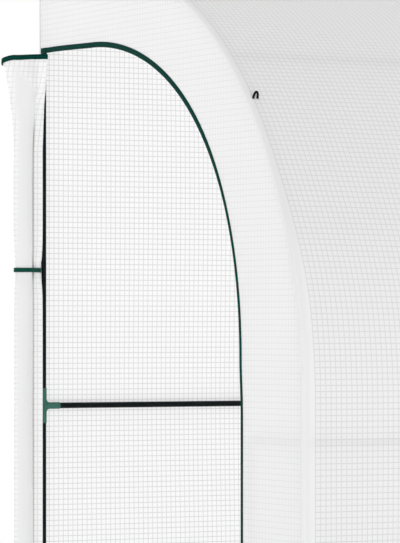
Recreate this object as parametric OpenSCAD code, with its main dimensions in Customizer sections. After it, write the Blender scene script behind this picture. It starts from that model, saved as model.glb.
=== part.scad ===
// Lean-to film greenhouse: steel tubes in moulded joints under a sewn mesh-film cover,
// with a zipped doorway in each end whose flap is rolled up and tied beside it.
// Millimetres. +X runs along the length, -Y is the curved front, +Y the flat back, +Z up.

/* [House] */
// Length of the cover from end to end
length = 3000; // [2400:10:3600]
// Depth of the cover from its front to its back
depth = 1514; // [1400:1:1700]
// Height at which the upright front starts to curve inwards
eave_z = 983; // [900:1:1100]
// Outside radius of the curved front and roof
roof_r = 1167; // [1060:1:1250]

/* [Tubes] */
// Outside diameter of the frame tubes
tube_d = 16; // [14:0.5:20]
// Wall of the frame tubes
tube_wall = 0.8; // [0.6:0.1:1.5]
// Drop from the eave to the front mid rail
front_rail_drop = 93; // [80:1:150]
// Height of the back mid rail
back_rail_z = 951; // [800:1:1100]
// Angle of the roof purlin up the curve
purlin_angle = 48.7; // [40:0.1:60]
// Distance of the door jamb post from the door's edge
jamb_set_back = 49; // [35:1:70]

/* [Joints] */
// Wall of the moulded sleeves
sleeve_wall = 1.2; // [1:0.1:3]
// Length of each sleeve from the joint's centre
sleeve_len = 49; // [40:1:60]
// Distance from the joint's centre to the stop where a tube seats
tube_stop = 14; // [13:0.5:18]
// Radius of the fillet web between two sleeves
web_r = 7; // [5:0.5:12]
// Height of the ball at a joint's centre above its sleeves
hub_rise = 0.2; // [0.1:0.1:1]
// Radial room between a tube and its sleeve
tube_gap = 0.15; // [0.1:0.05:0.3]
// Length of the swaged end that plugs into a bend
swage_len = 20; // [12:1:24]
// Radial room between a swaged end and the bend
swage_gap = 0.35; // [0.3:0.05:0.5]
// Depth of the flat under the sleeves that stand on the ground
foot_flat = 0.6; // [0.3:0.1:0.8]

/* [Cover] */
// Thickness of the cover
film_t = 1; // [1:0.5:3]
// Room between pieces that rest against each other
seat_gap = 0.3; // [0.2:0.1:0.5]

/* [Door] */
// Distance of the door's edge from the front of the cover
door_edge = 313; // [280:1:360]
// Drop from the roof to the head of the doorway
door_head_drop = 207; // [180:1:260]
// Radius of the door's curved upper edge
door_r = 848; // [780:1:880]
// Width of the cover's strip at the back of the doorway
hinge_w = 26; // [20:1:40]
// Width of the binding tape round the doorway
binding_w = 14; // [10:0.5:20]
// Height of the binding tape above the cover's face, on both faces
binding_proud = 1; // [0.5:0.5:2]
// Height of the door's hem above the ground
hem_z = 6; // [5:1:20]

/* [Rolled flap] */
// Diameter of the rolled flap
roll_d = 57; // [40:1:80]
// Reach of the rolled flap from the end of the cover
roll_reach = 95; // [85:1:120]
// Distance of the rolled flap from the back of the cover
roll_inset = 6.5; // [5:0.5:20]
// Extra reach of the flap's flared top
flare_w = 33; // [20:1:50]
// Height of the flare below the flap's top
flare_h = 240; // [150:5:400]
// Drop from the doorway's head to the flap's top
flap_drop = 16; // [5:1:40]
// Thickness of the flap's layers at its seam
flap_seam_t = 8; // [5:1:14]
// Height of the tie strap above the ground
strap_z = 1330; // [1000:5:1500]
// Width of the tie strap
strap_w = 12; // [8:1:25]
// Thickness of the tie strap
strap_t = 1.5; // [1:0.5:3]

/* [Guy loops] */
// Diameter of the loop's cord
loop_cord_d = 4; // [3:0.5:6]
// Width of a loop between the middles of its legs
loop_w = 12; // [9:1:20]
// Height of a loop above its seat
loop_h = 21; // [15:1:35]
// Angle of the loops up the curve
loop_angle = 41.3; // [30:0.1:46]
// Distance of a loop from the end of the cover
loop_inset = 23; // [15:1:60]

/* [Hidden] */

$fn = 96;
cut = 1;
arch_count = 4;
band_count = 3;
flare_steps = 8;
slice_t = 0.5;
left = -1;
right = 1;

height = eave_z + roof_r;
swage_d = tube_d - 2 * tube_wall - 2 * swage_gap;
sleeve_bore = tube_d + 2 * tube_gap;
sleeve_d = sleeve_bore + 2 * sleeve_wall;
hub_d = sleeve_d + 2 * hub_rise;

// Tube axes lie this far inside the cover's outside
inset = film_t + seat_gap + hub_d / 2;
arch_r = roof_r - inset;
half_run = length / 2 - inset;
back_s = depth - inset;
top_z = height - inset;
base_z = sleeve_d / 2 - foot_flat;
front_rail_z = eave_z - front_rail_drop;
jamb_s = door_edge - jamb_set_back;
stop_angle = tube_stop / arch_r * 180 / PI;
sleeve_angle = sleeve_len / arch_r * 180 / PI;
band_angle = 90 / band_count;

head_z = height - door_head_drop;
door_centre_s = door_edge + door_r;
door_centre_z = head_z - door_r;
hinge_s = depth - hinge_w;
binding_cut = binding_w + seat_gap;

flap_s = hinge_s + flap_seam_t / 2;
roll_t = roll_reach - roll_d / 2;
roll_set = depth - roll_inset - roll_d / 2 - flap_s;
layer_set = roll_set + (roll_d - flap_seam_t) / 2;
flap_top_z = head_z - flap_drop;
flare_scale = 1 + flare_w / roll_reach;
loop_leg = loop_h - loop_w / 2;

steel_green = [0.07, 0.10, 0.11];
joint_green = [0.24, 0.44, 0.38];
tape_green = [0.10, 0.28, 0.25];
film_white = [0.93, 0.95, 0.94, 0.6];
cord_black = [0.10, 0.10, 0.10];

UP = [0, 0, 0];
DOWN = [180, 0, 0];
RIGHT = [0, 90, 0];
LEFT = [0, -90, 0];
BACK = [-90, 0, 0];
FRONT = [90, 0, 0];

function arch_x(i) = -half_run + 2 * half_run * i / (arch_count - 1);
function y_at(s) = s - depth / 2;
// Sleeves that run along the length: both ways, or only inwards at an end
function rail_arms(i) = concat(i > 0 ? [LEFT] : [], i < arch_count - 1 ? [RIGHT] : []);
function is_end(i) = i == 0 || i == arch_count - 1;

// Straight and bent tubes

module tube(h) {
    difference() {
        cylinder(d = tube_d, h = h);
        translate([0, 0, -cut])
            cylinder(d = tube_d - 2 * tube_wall, h = h + 2 * cut);
    }
}

// Tube whose far end is swaged down to plug into a bend
module swaged_tube(h) {
    difference() {
        union() {
            cylinder(d = tube_d, h = h);
            cylinder(d = swage_d, h = h + swage_len);
        }
        translate([0, 0, -cut])
            cylinder(d = tube_d - 2 * tube_wall, h = h - tube_wall + cut);
        cylinder(d = swage_d - 2 * tube_wall, h = h + swage_len + cut);
    }
}

module upright(x, s, z0, z1) {
    translate([x, y_at(s), z0])
        tube(z1 - z0);
}

module cross_tube(x, z, s0, s1) {
    translate([x, y_at(s0), z])
        rotate(BACK)
            tube(s1 - s0);
}

module rail(s, z) {
    for (i = [0 : arch_count - 2])
        translate([arch_x(i) + tube_stop, y_at(s), z])
            rotate(RIGHT)
                tube(arch_x(i + 1) - arch_x(i) - 2 * tube_stop);
}

// Axes of the curve at one place along the length: local X towards the back, local Y up
module curve_axes(x) {
    translate([x, y_at(roof_r), eave_z])
        rotate([90, 0, 90])
            children();
}

// Turns a profile about the curve's centre, between two angles measured up from the front
module bend(a0, a1) {
    rotate([0, 0, 180 - a1])
        rotate_extrude(angle = a1 - a0)
            children();
}

module tube_profile() {
    translate([arch_r, 0])
        difference() {
            circle(d = tube_d);
            circle(d = tube_d - 2 * tube_wall);
        }
}

// Moulded joints

module sleeve() {
    cylinder(d = sleeve_d, h = sleeve_len);
}

module socket() {
    translate([0, 0, tube_stop])
        cylinder(d = sleeve_bore, h = sleeve_len);
}

// Fillet web in the corner between two sleeves, in the plane of local X and Z
module corner_web() {
    reach = sleeve_d / 2 + web_r;
    rotate([90, 0, 0])
        linear_extrude(height = sleeve_bore / 2, center = true)
            difference() {
                square(reach);
                translate([reach, reach])
                    circle(r = web_r);
            }
}

module joint(arms, webs) {
    difference() {
        union() {
            sphere(d = hub_d);
            for (a = arms)
                rotate(a)
                    sleeve();
            for (w = webs)
                rotate(w)
                    corner_web();
        }
        for (a = arms)
            rotate(a)
                socket();
    }
}

// Turns of a fillet web about the upright, from its side towards +X
WEB_RIGHT = [0, 0, 0];
WEB_LEFT = [0, 0, 180];
WEB_BACK = [0, 0, 90];
WEB_FRONT = [0, 0, -90];
// The same corners below the joint
WEB_RIGHT_DOWN = [180, 0, 0];
WEB_LEFT_DOWN = [180, 0, 180];
WEB_BACK_DOWN = [180, 0, 90];
WEB_FRONT_DOWN = [180, 0, -90];

function rail_webs(i) = concat(i > 0 ? [WEB_LEFT] : [], i < arch_count - 1 ? [WEB_RIGHT] : []);
function rail_webs_down(i) =
    concat(i > 0 ? [WEB_LEFT_DOWN] : [], i < arch_count - 1 ? [WEB_RIGHT_DOWN] : []);

module on_ground() {
    difference() {
        children();
        translate([-length, -depth, -depth])
            cube([2 * length, 2 * depth, depth]);
    }
}

module front_base_joints() {
    color(joint_green)
        on_ground()
            for (i = [0 : arch_count - 1])
                translate([arch_x(i), y_at(inset), base_z])
                    joint(
                        concat([UP], rail_arms(i), is_end(i) ? [BACK] : []),
                        concat(rail_webs(i), is_end(i) ? [WEB_BACK] : [])
                    );
}

module back_base_joints() {
    color(joint_green)
        on_ground()
            for (i = [0 : arch_count - 1])
                translate([arch_x(i), y_at(back_s), base_z])
                    joint(concat([UP], rail_arms(i)), rail_webs(i));
}

module front_mid_joints() {
    color(joint_green)
        for (i = [0 : arch_count - 1])
            translate([arch_x(i), y_at(inset), front_rail_z])
                joint(
                    concat([UP, DOWN], rail_arms(i), is_end(i) ? [BACK] : []),
                    concat(rail_webs(i), rail_webs_down(i), is_end(i) ? [WEB_BACK, WEB_BACK_DOWN] : [])
                );
}

module back_mid_joints() {
    color(joint_green)
        for (i = [0 : arch_count - 1])
            translate([arch_x(i), y_at(back_s), back_rail_z])
                joint(
                    concat([UP, DOWN], rail_arms(i)),
                    concat(rail_webs(i), rail_webs_down(i))
                );
}

module back_top_joints() {
    color(joint_green)
        for (i = [0 : arch_count - 1])
            translate([arch_x(i), y_at(back_s), top_z])
                joint(
                    concat([DOWN, FRONT], rail_arms(i)),
                    concat(rail_webs_down(i), [WEB_FRONT_DOWN])
                );
}

module jamb_joints() {
    color(joint_green) {
        for (x = [-half_run, half_run])
            translate([x, y_at(jamb_s), front_rail_z])
                joint([DOWN, FRONT], [WEB_FRONT_DOWN]);
        on_ground()
            for (x = [-half_run, half_run])
                translate([x, y_at(jamb_s), base_z])
                    joint([UP, FRONT], [WEB_FRONT]);
    }
}

// Cross joint bent to the curve, with straight sleeves along the length
module purlin_joints() {
    color(joint_green)
        for (i = [0 : arch_count - 1])
            curve_axes(arch_x(i))
                difference() {
                    union() {
                        bend(purlin_angle - sleeve_angle, purlin_angle + sleeve_angle)
                            translate([arch_r, 0])
                                circle(d = sleeve_d);
                        rotate([0, 0, 180 - purlin_angle])
                            translate([arch_r, 0, 0]) {
                                sphere(d = hub_d);
                                purlin_arms(i)
                                    sleeve();
                            }
                    }
                    for (side = [left, right])
                        bend(
                            purlin_angle + (side == left ? -sleeve_angle - stop_angle : stop_angle),
                            purlin_angle + (side == left ? -stop_angle : sleeve_angle + stop_angle)
                        )
                            translate([arch_r, 0])
                                circle(d = sleeve_bore);
                    rotate([0, 0, 180 - purlin_angle])
                        translate([arch_r, 0, 0])
                            purlin_arms(i)
                                socket();
                }
}

module purlin_arms(i) {
    if (i > 0)
        rotate(DOWN)
            children();
    if (i < arch_count - 1)
        rotate(UP)
            children();
}

// Frame tubes

// Post up to the mid rail, and its swaged upper length from there to the eave
module front_post(i) {
    color(steel_green) {
        upright(arch_x(i), inset, base_z + tube_stop, front_rail_z - tube_stop);
        translate([arch_x(i), y_at(inset), front_rail_z + tube_stop])
            swaged_tube(front_rail_drop - tube_stop);
    }
}

module back_post(i) {
    color(steel_green) {
        upright(arch_x(i), back_s, base_z + tube_stop, back_rail_z - tube_stop);
        upright(arch_x(i), back_s, back_rail_z + tube_stop, top_z - tube_stop);
    }
}

// Bent tubes from the eave to the purlin, and from the purlin to the level roof
module arch(i) {
    color(steel_green)
        curve_axes(arch_x(i)) {
            bend(0, purlin_angle - stop_angle)
                tube_profile();
            bend(purlin_angle + stop_angle, 90)
                tube_profile();
        }
}

module roof_bars() {
    color(steel_green)
        for (i = [0 : arch_count - 1])
            translate([arch_x(i), y_at(back_s - tube_stop), top_z])
                rotate(FRONT)
                    swaged_tube(back_s - tube_stop - roof_r);
}

module front_base_rail() {
    color(steel_green)
        rail(inset, base_z);
}

module back_base_rail() {
    color(steel_green)
        rail(back_s, base_z);
}

module front_mid_rail() {
    color(steel_green)
        rail(inset, front_rail_z);
}

module back_mid_rail() {
    color(steel_green)
        rail(back_s, back_rail_z);
}

module roof_purlin() {
    color(steel_green)
        rail(roof_r - arch_r * cos(purlin_angle), eave_z + arch_r * sin(purlin_angle));
}

module back_top_rail() {
    color(steel_green)
        rail(back_s, top_z);
}

// Jamb post beside the doorway, with its short rails to the front corner
module jamb_frame(side) {
    color(steel_green) {
        upright(side * half_run, jamb_s, base_z + tube_stop, front_rail_z - tube_stop);
        for (z = [base_z, front_rail_z])
            cross_tube(side * half_run, z, inset + tube_stop, jamb_s - tube_stop);
    }
}

// Cover sheets

module long_slab(s0, s1, z0, z1) {
    translate([-length / 2 + film_t, y_at(s0), z0])
        cube([length - 2 * film_t, s1 - s0, z1 - z0]);
}

module front_sheet() {
    color(film_white)
        long_slab(0, film_t, 0, eave_z);
}

module roof_band(k) {
    color(film_white)
        curve_axes(0)
            bend(k * band_angle, (k + 1) * band_angle)
                translate([roof_r - film_t, -length / 2 + film_t])
                    square([film_t, length - 2 * film_t]);
}

module roof_sheet_top() {
    color(film_white)
        long_slab(roof_r, depth, height - film_t, height);
}

module back_sheet() {
    color(film_white)
        long_slab(depth - film_t, depth, 0, height - film_t);
}

// Extrudes an end's outline, drawn with X from the front and Y up, between two depths from its outside
module end_plate(side, out, t) {
    x0 = side == right ? length / 2 + out - t : -length / 2 - out;
    translate([x0, y_at(0), 0])
        rotate([90, 0, 90])
            linear_extrude(height = t)
                children();
}

// Doorway outline, wider by grow at its edge and head
module doorway(grow) {
    edge = door_edge - grow;
    translate([edge, -cut])
        square([hinge_s - edge, door_centre_z + cut]);
    translate([door_centre_s, 0])
        square([hinge_s - door_centre_s, head_z + grow]);
    intersection() {
        translate([door_centre_s, door_centre_z])
            circle(r = door_r + grow);
        translate([edge, 0])
            square([door_r + grow, head_z + grow]);
    }
}

module side_sheet(side) {
    color(film_white)
        end_plate(side, 0, film_t)
            square([door_edge - binding_cut, eave_z]);
}

// Panel over the doorway, under the curve
module arch_sheet(side) {
    color(film_white)
        end_plate(side, 0, film_t)
            difference() {
                union() {
                    intersection() {
                        translate([roof_r, eave_z])
                            circle(r = roof_r);
                        translate([0, eave_z])
                            square(roof_r);
                    }
                    translate([roof_r, eave_z])
                        square([depth - roof_r, roof_r]);
                }
                doorway(binding_cut);
                translate([hinge_s - cut, 0])
                    square([hinge_w + 2 * cut, head_z + binding_cut]);
            }
}

module hinge_strips() {
    color(film_white)
        for (side = [left, right])
            end_plate(side, 0, film_t)
                translate([hinge_s + seat_gap, 0])
                    square([hinge_w - seat_gap, head_z + binding_cut]);
}

// Binding tape folded over the doorway's edge, its end turned down to the flap at the hinge
module door_binding(side) {
    color(tape_green)
        end_plate(side, binding_proud, film_t + 2 * binding_proud)
            intersection() {
                union() {
                    difference() {
                        doorway(binding_w);
                        doorway(0);
                    }
                    translate([hinge_s - binding_w, flap_top_z + seat_gap])
                        square([binding_w, flap_drop]);
                }
                translate([0, hem_z])
                    square([hinge_s, height]);
            }
}

// Rolled door flap

// Plans about the flap's seam: local X outwards from the end, local Y towards the back

module outside_end() {
    intersection() {
        children();
        translate([0, -depth / 2])
            square(depth);
    }
}

module roll_plan() {
    translate([roll_t, roll_set])
        circle(d = roll_d, $fn = 32);
}

// Layers from the seam to the back of the roll
module layer_plan() {
    outside_end()
        hull() {
            circle(d = flap_seam_t, $fn = 16);
            translate([roll_t, layer_set])
                circle(d = flap_seam_t, $fn = 16);
        }
}

module at_flap(side, z) {
    translate([side * (length / 2 + seat_gap), y_at(flap_s), z])
        mirror([side == left ? 1 : 0, 0, 0])
            children();
}

// Width of the flap at a share of the flare's height, against the roll below it
function flare(u) = 1 + (flare_scale - 1) * u * u;

module flap_slice(z, u) {
    translate([0, 0, z])
        linear_extrude(height = slice_t)
            scale(flare(u))
                children();
}

// Carries a plan up from the hem to the flare, then through the flare in steps up to the binding
module flap_loft() {
    rise = flare_h - binding_w - slice_t;
    hull() {
        flap_slice(hem_z, 0)
            children();
        flap_slice(flap_top_z - flare_h, 0)
            children();
    }
    for (n = [0 : flare_steps - 1])
        hull()
            for (u = [n, n + 1] / flare_steps)
                flap_slice(flap_top_z - flare_h + rise * u, u)
                    children();
}

module door_flap(side) {
    color(film_white)
        at_flap(side, 0) {
            flap_loft()
                roll_plan();
            flap_loft()
                layer_plan();
        }
}

module flap_bindings() {
    color(tape_green)
        for (side = [left, right])
            at_flap(side, flap_top_z - binding_w)
                linear_extrude(height = binding_w)
                    scale(flare_scale) {
                        roll_plan();
                        layer_plan();
                    }
}

// Strap sewn to the end strip and drawn round the rolled flap
module flap_straps() {
    color(tape_green)
        for (side = [left, right])
            at_flap(side, strap_z - strap_w / 2)
                linear_extrude(height = strap_w)
                    outside_end()
                        difference() {
                            bundle_plan(seat_gap + strap_t);
                            bundle_plan(seat_gap);
                        }
}

// Outline drawn tight round the roll and its layers
module bundle_plan(grow) {
    offset(r = grow)
        hull() {
            roll_plan();
            layer_plan();
        }
}

// Cord loops sewn to the cover over the end arches

module guy_loop(x) {
    translate([
        x,
        y_at(roof_r - roof_r * cos(loop_angle)),
        eave_z + roof_r * sin(loop_angle)
    ]) {
        translate([0, 0, loop_leg])
            rotate([90, 0, 0])
                rotate_extrude(angle = 180)
                    translate([loop_w / 2, 0])
                        circle(d = loop_cord_d);
        for (leg = [left, right])
            translate([leg * loop_w / 2, 0, -loop_cord_d])
                cylinder(d = loop_cord_d, h = loop_leg + loop_cord_d);
    }
}

module guy_loops() {
    color(cord_black)
        difference() {
            for (side = [left, right])
                guy_loop(side * (length / 2 - loop_inset));
            curve_axes(0)
                cylinder(r = roof_r + seat_gap, h = length, center = true);
        }
}

front_post(0);  // front_post_1
front_post(1);  // front_post_2
front_post(2);  // front_post_3
front_post(3);  // front_post_4
back_post(0);  // back_post_1
back_post(1);  // back_post_2
back_post(2);  // back_post_3
back_post(3);  // back_post_4
arch(0);  // arch_1
arch(1);  // arch_2
arch(2);  // arch_3
arch(3);  // arch_4
roof_bars();
front_base_rail();
back_base_rail();
front_mid_rail();
back_mid_rail();
roof_purlin();
back_top_rail();
jamb_frame(left);  // left_jamb_frame
jamb_frame(right);  // right_jamb_frame
front_base_joints();
back_base_joints();
front_mid_joints();
back_mid_joints();
purlin_joints();
back_top_joints();
jamb_joints();
front_sheet();
roof_band(0);  // roof_sheet_low
roof_band(1);  // roof_sheet_mid
roof_band(2);  // roof_sheet_high
roof_sheet_top();
back_sheet();
side_sheet(left);  // left_side_sheet
side_sheet(right);  // right_side_sheet
arch_sheet(left);  // left_arch_sheet
arch_sheet(right);  // right_arch_sheet
hinge_strips();
door_binding(left);  // left_door_binding
door_binding(right);  // right_door_binding
door_flap(left);  // left_door_flap
door_flap(right);  // right_door_flap
flap_bindings();
flap_straps();
guy_loops();
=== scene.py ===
"""Looks of the lean-to film greenhouse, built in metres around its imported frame.

X runs along the length, -Y is the curved front, +Y the flat back and Z is up. On an end, s is the
distance from the front of the cover and t the distance outwards from the end. On the door film, q is
the distance from its hinge.
"""

import logging
import math
from dataclasses import dataclass
from enum import Enum
from typing import Sequence

import bpy
import numpy as np
from mathutils import Matrix, Vector

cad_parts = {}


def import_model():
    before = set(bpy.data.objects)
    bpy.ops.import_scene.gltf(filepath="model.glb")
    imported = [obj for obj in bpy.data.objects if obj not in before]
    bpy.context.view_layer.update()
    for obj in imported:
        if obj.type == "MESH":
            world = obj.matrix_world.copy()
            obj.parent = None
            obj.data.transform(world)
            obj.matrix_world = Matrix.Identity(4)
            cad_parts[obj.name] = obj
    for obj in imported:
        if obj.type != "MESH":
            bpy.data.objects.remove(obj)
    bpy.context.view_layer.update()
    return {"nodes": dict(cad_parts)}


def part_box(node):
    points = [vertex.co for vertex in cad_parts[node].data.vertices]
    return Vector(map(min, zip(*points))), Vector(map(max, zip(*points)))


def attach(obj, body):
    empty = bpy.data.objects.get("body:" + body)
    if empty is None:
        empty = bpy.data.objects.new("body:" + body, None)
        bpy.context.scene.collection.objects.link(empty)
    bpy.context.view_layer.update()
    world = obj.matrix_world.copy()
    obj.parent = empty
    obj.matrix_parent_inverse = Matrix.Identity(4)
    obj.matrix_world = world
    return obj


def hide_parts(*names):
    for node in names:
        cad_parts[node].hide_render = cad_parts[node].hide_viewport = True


LOG = logging.getLogger("greenhouse")
BODY = "root"
MM = 0.001
QUARTER = math.pi / 2
THREAD_PITCH = 14.7 * MM
IMAGE_HEIGHT = 543
# Numbers of the Mix node's colour sockets
MIX_A, MIX_B, MIX_RESULT = 6, 7, 2

# Points, faces and pattern coordinates of a piece
Part = tuple[np.ndarray, list[list[int]], np.ndarray]


class End(Enum):
    """An end of the greenhouse, with its direction along X."""

    LEFT = -1
    RIGHT = 1

    @property
    def label(self) -> str:
        """Word for the end in the names of pieces."""
        return self.name.lower()

    @property
    def arch(self) -> str:
        """CAD node of the arch that carries the end."""
        return "arch_1" if self is End.LEFT else "arch_4"

    def outwards(self, count: int) -> np.ndarray:
        """Repeats the direction out of the end in rows."""
        return np.tile([float(self.value), 0.0, 0.0], (count, 1))


class Slot(Enum):
    """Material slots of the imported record."""

    FILM = "film"
    BINDING = "binding"
    STRAP = "strap"
    CORD = "cord"


class Held(Enum):
    """Ways in which a sheet of the cover is held."""

    STRETCHED = "stretched"
    GATHERED = "gathered"


# Shared helpers


def linear(code: str) -> tuple[float, float, float, float]:
    """Turns an sRGB hex colour into a linear one.

    Args:
        code: Colour such as "#1B4841".

    Returns:
        Linear red, green, blue and alpha.
    """
    shares = [int(code[i : i + 2], 16) / 255 for i in (1, 3, 5)]
    red, green, blue = (
        c / 12.92 if c <= 0.04045 else ((c + 0.055) / 1.055) ** 2.4 for c in shares
    )
    return red, green, blue, 1.0


def add_node(
    tree: bpy.types.NodeTree, kind: str, inputs: dict | None = None, **settings: object
) -> bpy.types.Node:
    """Adds a node with its settings and links.

    Args:
        tree: Tree that takes the node.
        kind: Node type, such as "ShaderNodeMath".
        inputs: Values or sockets to link, by input name or number.
        **settings: Properties of the node itself.

    Returns:
        The new node.
    """
    node = tree.nodes.new(kind)
    for name, value in settings.items():
        setattr(node, name, value)
    for key, value in (inputs or {}).items():
        if isinstance(value, bpy.types.NodeSocket):
            tree.links.new(value, node.inputs[key])
        else:
            node.inputs[key].default_value = value
    return node


def new_material(name: str) -> tuple[bpy.types.Material, bpy.types.NodeTree]:
    """Adds a material whose node tree is empty.

    Args:
        name: Name of the real material.

    Returns:
        The material and its tree.
    """
    material = bpy.data.materials.new(name)
    material.use_nodes = True
    material.node_tree.nodes.clear()
    return material, material.node_tree


def placed(name: str, data: bpy.types.ID) -> bpy.types.Object:
    """Adds an object to the scene.

    Args:
        name: Name of the object.
        data: Its mesh, lamp or camera.

    Returns:
        The object.
    """
    thing = bpy.data.objects.new(name, data)
    bpy.context.scene.collection.objects.link(thing)
    return thing


def smooth(x: np.ndarray | float, start: float, end: float) -> np.ndarray:
    """Rises smoothly from 0 at start to 1 at end."""
    share = np.clip((np.asarray(x, dtype=float) - start) / (end - start), 0, 1)
    return share * share * (3 - 2 * share)


def lerp(a: np.ndarray | float, b: np.ndarray | float, share: np.ndarray | float) -> np.ndarray:
    """Goes from a to b by a share."""
    return a + (b - a) * share


def distances(path: np.ndarray) -> np.ndarray:
    """Measures along a path to each of its points."""
    steps = np.linalg.norm(np.diff(path, axis=0), axis=1)
    return np.concatenate([[0], np.cumsum(steps)])


def points_at(path: np.ndarray, wanted: np.ndarray) -> np.ndarray:
    """Finds the points of a path at wanted distances along it."""
    along = distances(path)
    return np.stack([np.interp(wanted, along, column) for column in path.T], axis=1)


def resampled(path: np.ndarray, step: float) -> np.ndarray:
    """Spaces the points of a path evenly.

    Args:
        path: Points of the path.
        step: Wanted distance between points.

    Returns:
        Points at equal distances along the path.
    """
    length = distances(path)[-1]
    count = max(int(length / step) + 1, 2)
    return points_at(path, np.linspace(0, length, count))


def headings(path: np.ndarray) -> np.ndarray:
    """Finds the unit direction of a path at each of its points."""
    ahead = np.gradient(path, axis=0)
    return ahead / np.linalg.norm(ahead, axis=1)[:, None]


def mesh_object(
    name: str,
    points: np.ndarray,
    faces: Sequence[Sequence[int]],
    uv: np.ndarray | None = None,
    plain: np.ndarray | None = None,
    fold: np.ndarray | None = None,
) -> bpy.types.Object:
    """Makes a smooth-shaded mesh object at the origin.

    Args:
        name: Name of the piece.
        points: One row of three coordinates per vertex.
        faces: Vertex numbers of each face.
        uv: One row of two pattern coordinates per vertex, in metres.
        plain: Share of each vertex that shows no thread grid.
        fold: Share of each vertex that takes the painted shadow along a crease.

    Returns:
        The object, linked to the scene.
    """
    mesh = bpy.data.meshes.new(name)
    mesh.from_pydata(points.tolist(), [], [list(f) for f in faces])
    corners = np.empty(len(mesh.loops), dtype=np.int32)
    mesh.loops.foreach_get("vertex_index", corners)
    if uv is not None:
        layer = mesh.uv_layers.new(name="UVMap")
        layer.data.foreach_set("uv", uv[corners].astype(np.float32).ravel())
    for word, shares in (("plain", plain), ("fold", fold)):
        if shares is not None:
            attribute = mesh.attributes.new(word, "FLOAT", "POINT")
            attribute.data.foreach_set("value", shares.astype(np.float32))
    mesh.shade_smooth()
    mesh.update()
    return placed(name, mesh)


def grid_faces(rows: int, columns: int, flip: bool, wrap: bool = False) -> list[list[int]]:
    """Lists the quads of a grid of vertices stored row by row.

    Args:
        rows: Number of rows.
        columns: Number of columns.
        flip: Turns the faces over.
        wrap: Joins the last column to the first.

    Returns:
        Vertex numbers of each quad.
    """
    faces = []
    for r in range(rows - 1):
        for c in range(columns if wrap else columns - 1):
            a, b = r * columns + c, r * columns + (c + 1) % columns
            quad = [a, b, b + columns, a + columns]
            faces.append(quad[::-1] if flip else quad)
    return faces


def joined(parts: Sequence[Part]) -> Part:
    """Puts several parts into one.

    Args:
        parts: The parts.

    Returns:
        The whole.
    """
    points, faces, uv, start = [], [], [], 0
    for part_points, part_faces, part_uv in parts:
        points.append(part_points)
        uv.append(part_uv)
        faces += [[start + v for v in face] for face in part_faces]
        start += len(part_points)
    return np.vstack(points), faces, np.vstack(uv)


def sweep(path: np.ndarray, across: np.ndarray, out: np.ndarray, section: np.ndarray) -> Part:
    """Carries a closed section along a path and caps its ends.

    Args:
        path: Points of the middle line.
        across: Direction of the section's first axis at each point.
        out: Direction of the section's second axis at each point.
        section: Points of the section, anticlockwise in its two axes.

    Returns:
        The part, with pattern coordinates in metres, along and round it.
    """
    count = len(section)
    rings = path[:, None] + across[:, None] * section[:, :1] + out[:, None] * section[:, 1:]
    grid = np.meshgrid(distances(path), distances(section), indexing="ij")
    flip = float(np.dot(np.cross(across[0], out[0]), path[1] - path[0])) > 0
    faces = grid_faces(len(path), count, not flip, wrap=True)
    first = list(range(count))
    last = [(len(path) - 1) * count + k for k in range(count)]
    faces += [first[::-1] if flip else first, last if flip else last[::-1]]
    return rings.reshape(-1, 3), faces, np.stack(grid, axis=-1).reshape(-1, 2)


def rounded_section(width: float, height: float, radius: float, steps: int = 4) -> np.ndarray:
    """Draws a rectangle with rounded corners, centred, anticlockwise.

    Args:
        width: Size along the first axis.
        height: Size along the second axis.
        radius: Radius of the corners.
        steps: Number of points in each corner.

    Returns:
        One row of two coordinates per point.
    """
    points = []
    for quarter, (sx, sy) in enumerate(((1, 1), (-1, 1), (-1, -1), (1, -1))):
        for k in range(steps):
            a = QUARTER * (quarter + k / (steps - 1))
            points.append((
                sx * (width / 2 - radius) + radius * math.cos(a),
                sy * (height / 2 - radius) + radius * math.sin(a),
            ))
    return np.array(points)


def oval(angle: np.ndarray, wide: float, deep: float, turn: float, squareness: float) -> np.ndarray:
    """Draws points of an oval about its centre.

    Args:
        angle: Angles of the points.
        wide: Half of its width.
        deep: Half of its depth.
        turn: Angle by which it is turned.
        squareness: 2 for an ellipse, and more for flatter sides.

    Returns:
        One row of two coordinates per point.
    """
    across, down = np.cos(angle - turn), np.sin(angle - turn)
    a = wide * np.sign(across) * np.abs(across) ** (2 / squareness)
    b = deep * np.sign(down) * np.abs(down) ** (2 / squareness)
    cos, sin = math.cos(turn), math.sin(turn)
    return np.stack([a * cos - b * sin, a * sin + b * cos], axis=1)


def dress(piece: bpy.types.Object, material: bpy.types.Material, slot: Slot, *nodes: str) -> None:
    """Gives a piece its material and body, and puts it in place of CAD nodes.

    Args:
        piece: Piece to dress.
        material: Its finish.
        slot: The record's slot for that finish; not used.
        *nodes: CAD nodes that the piece stands for.
    """
    piece.data.materials.clear()
    piece.data.materials.append(material)
    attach(piece, BODY)
    if nodes:
        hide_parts(*nodes)
    LOG.info("%s: %d faces", piece.name, len(piece.data.polygons))


# Stitches and zip coils


@dataclass(frozen=True)
class BeadSizes:
    """Spacing and size of the small shapes in a sewn or zipped row."""

    pitch: float
    length: float
    width: float
    height: float


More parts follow.
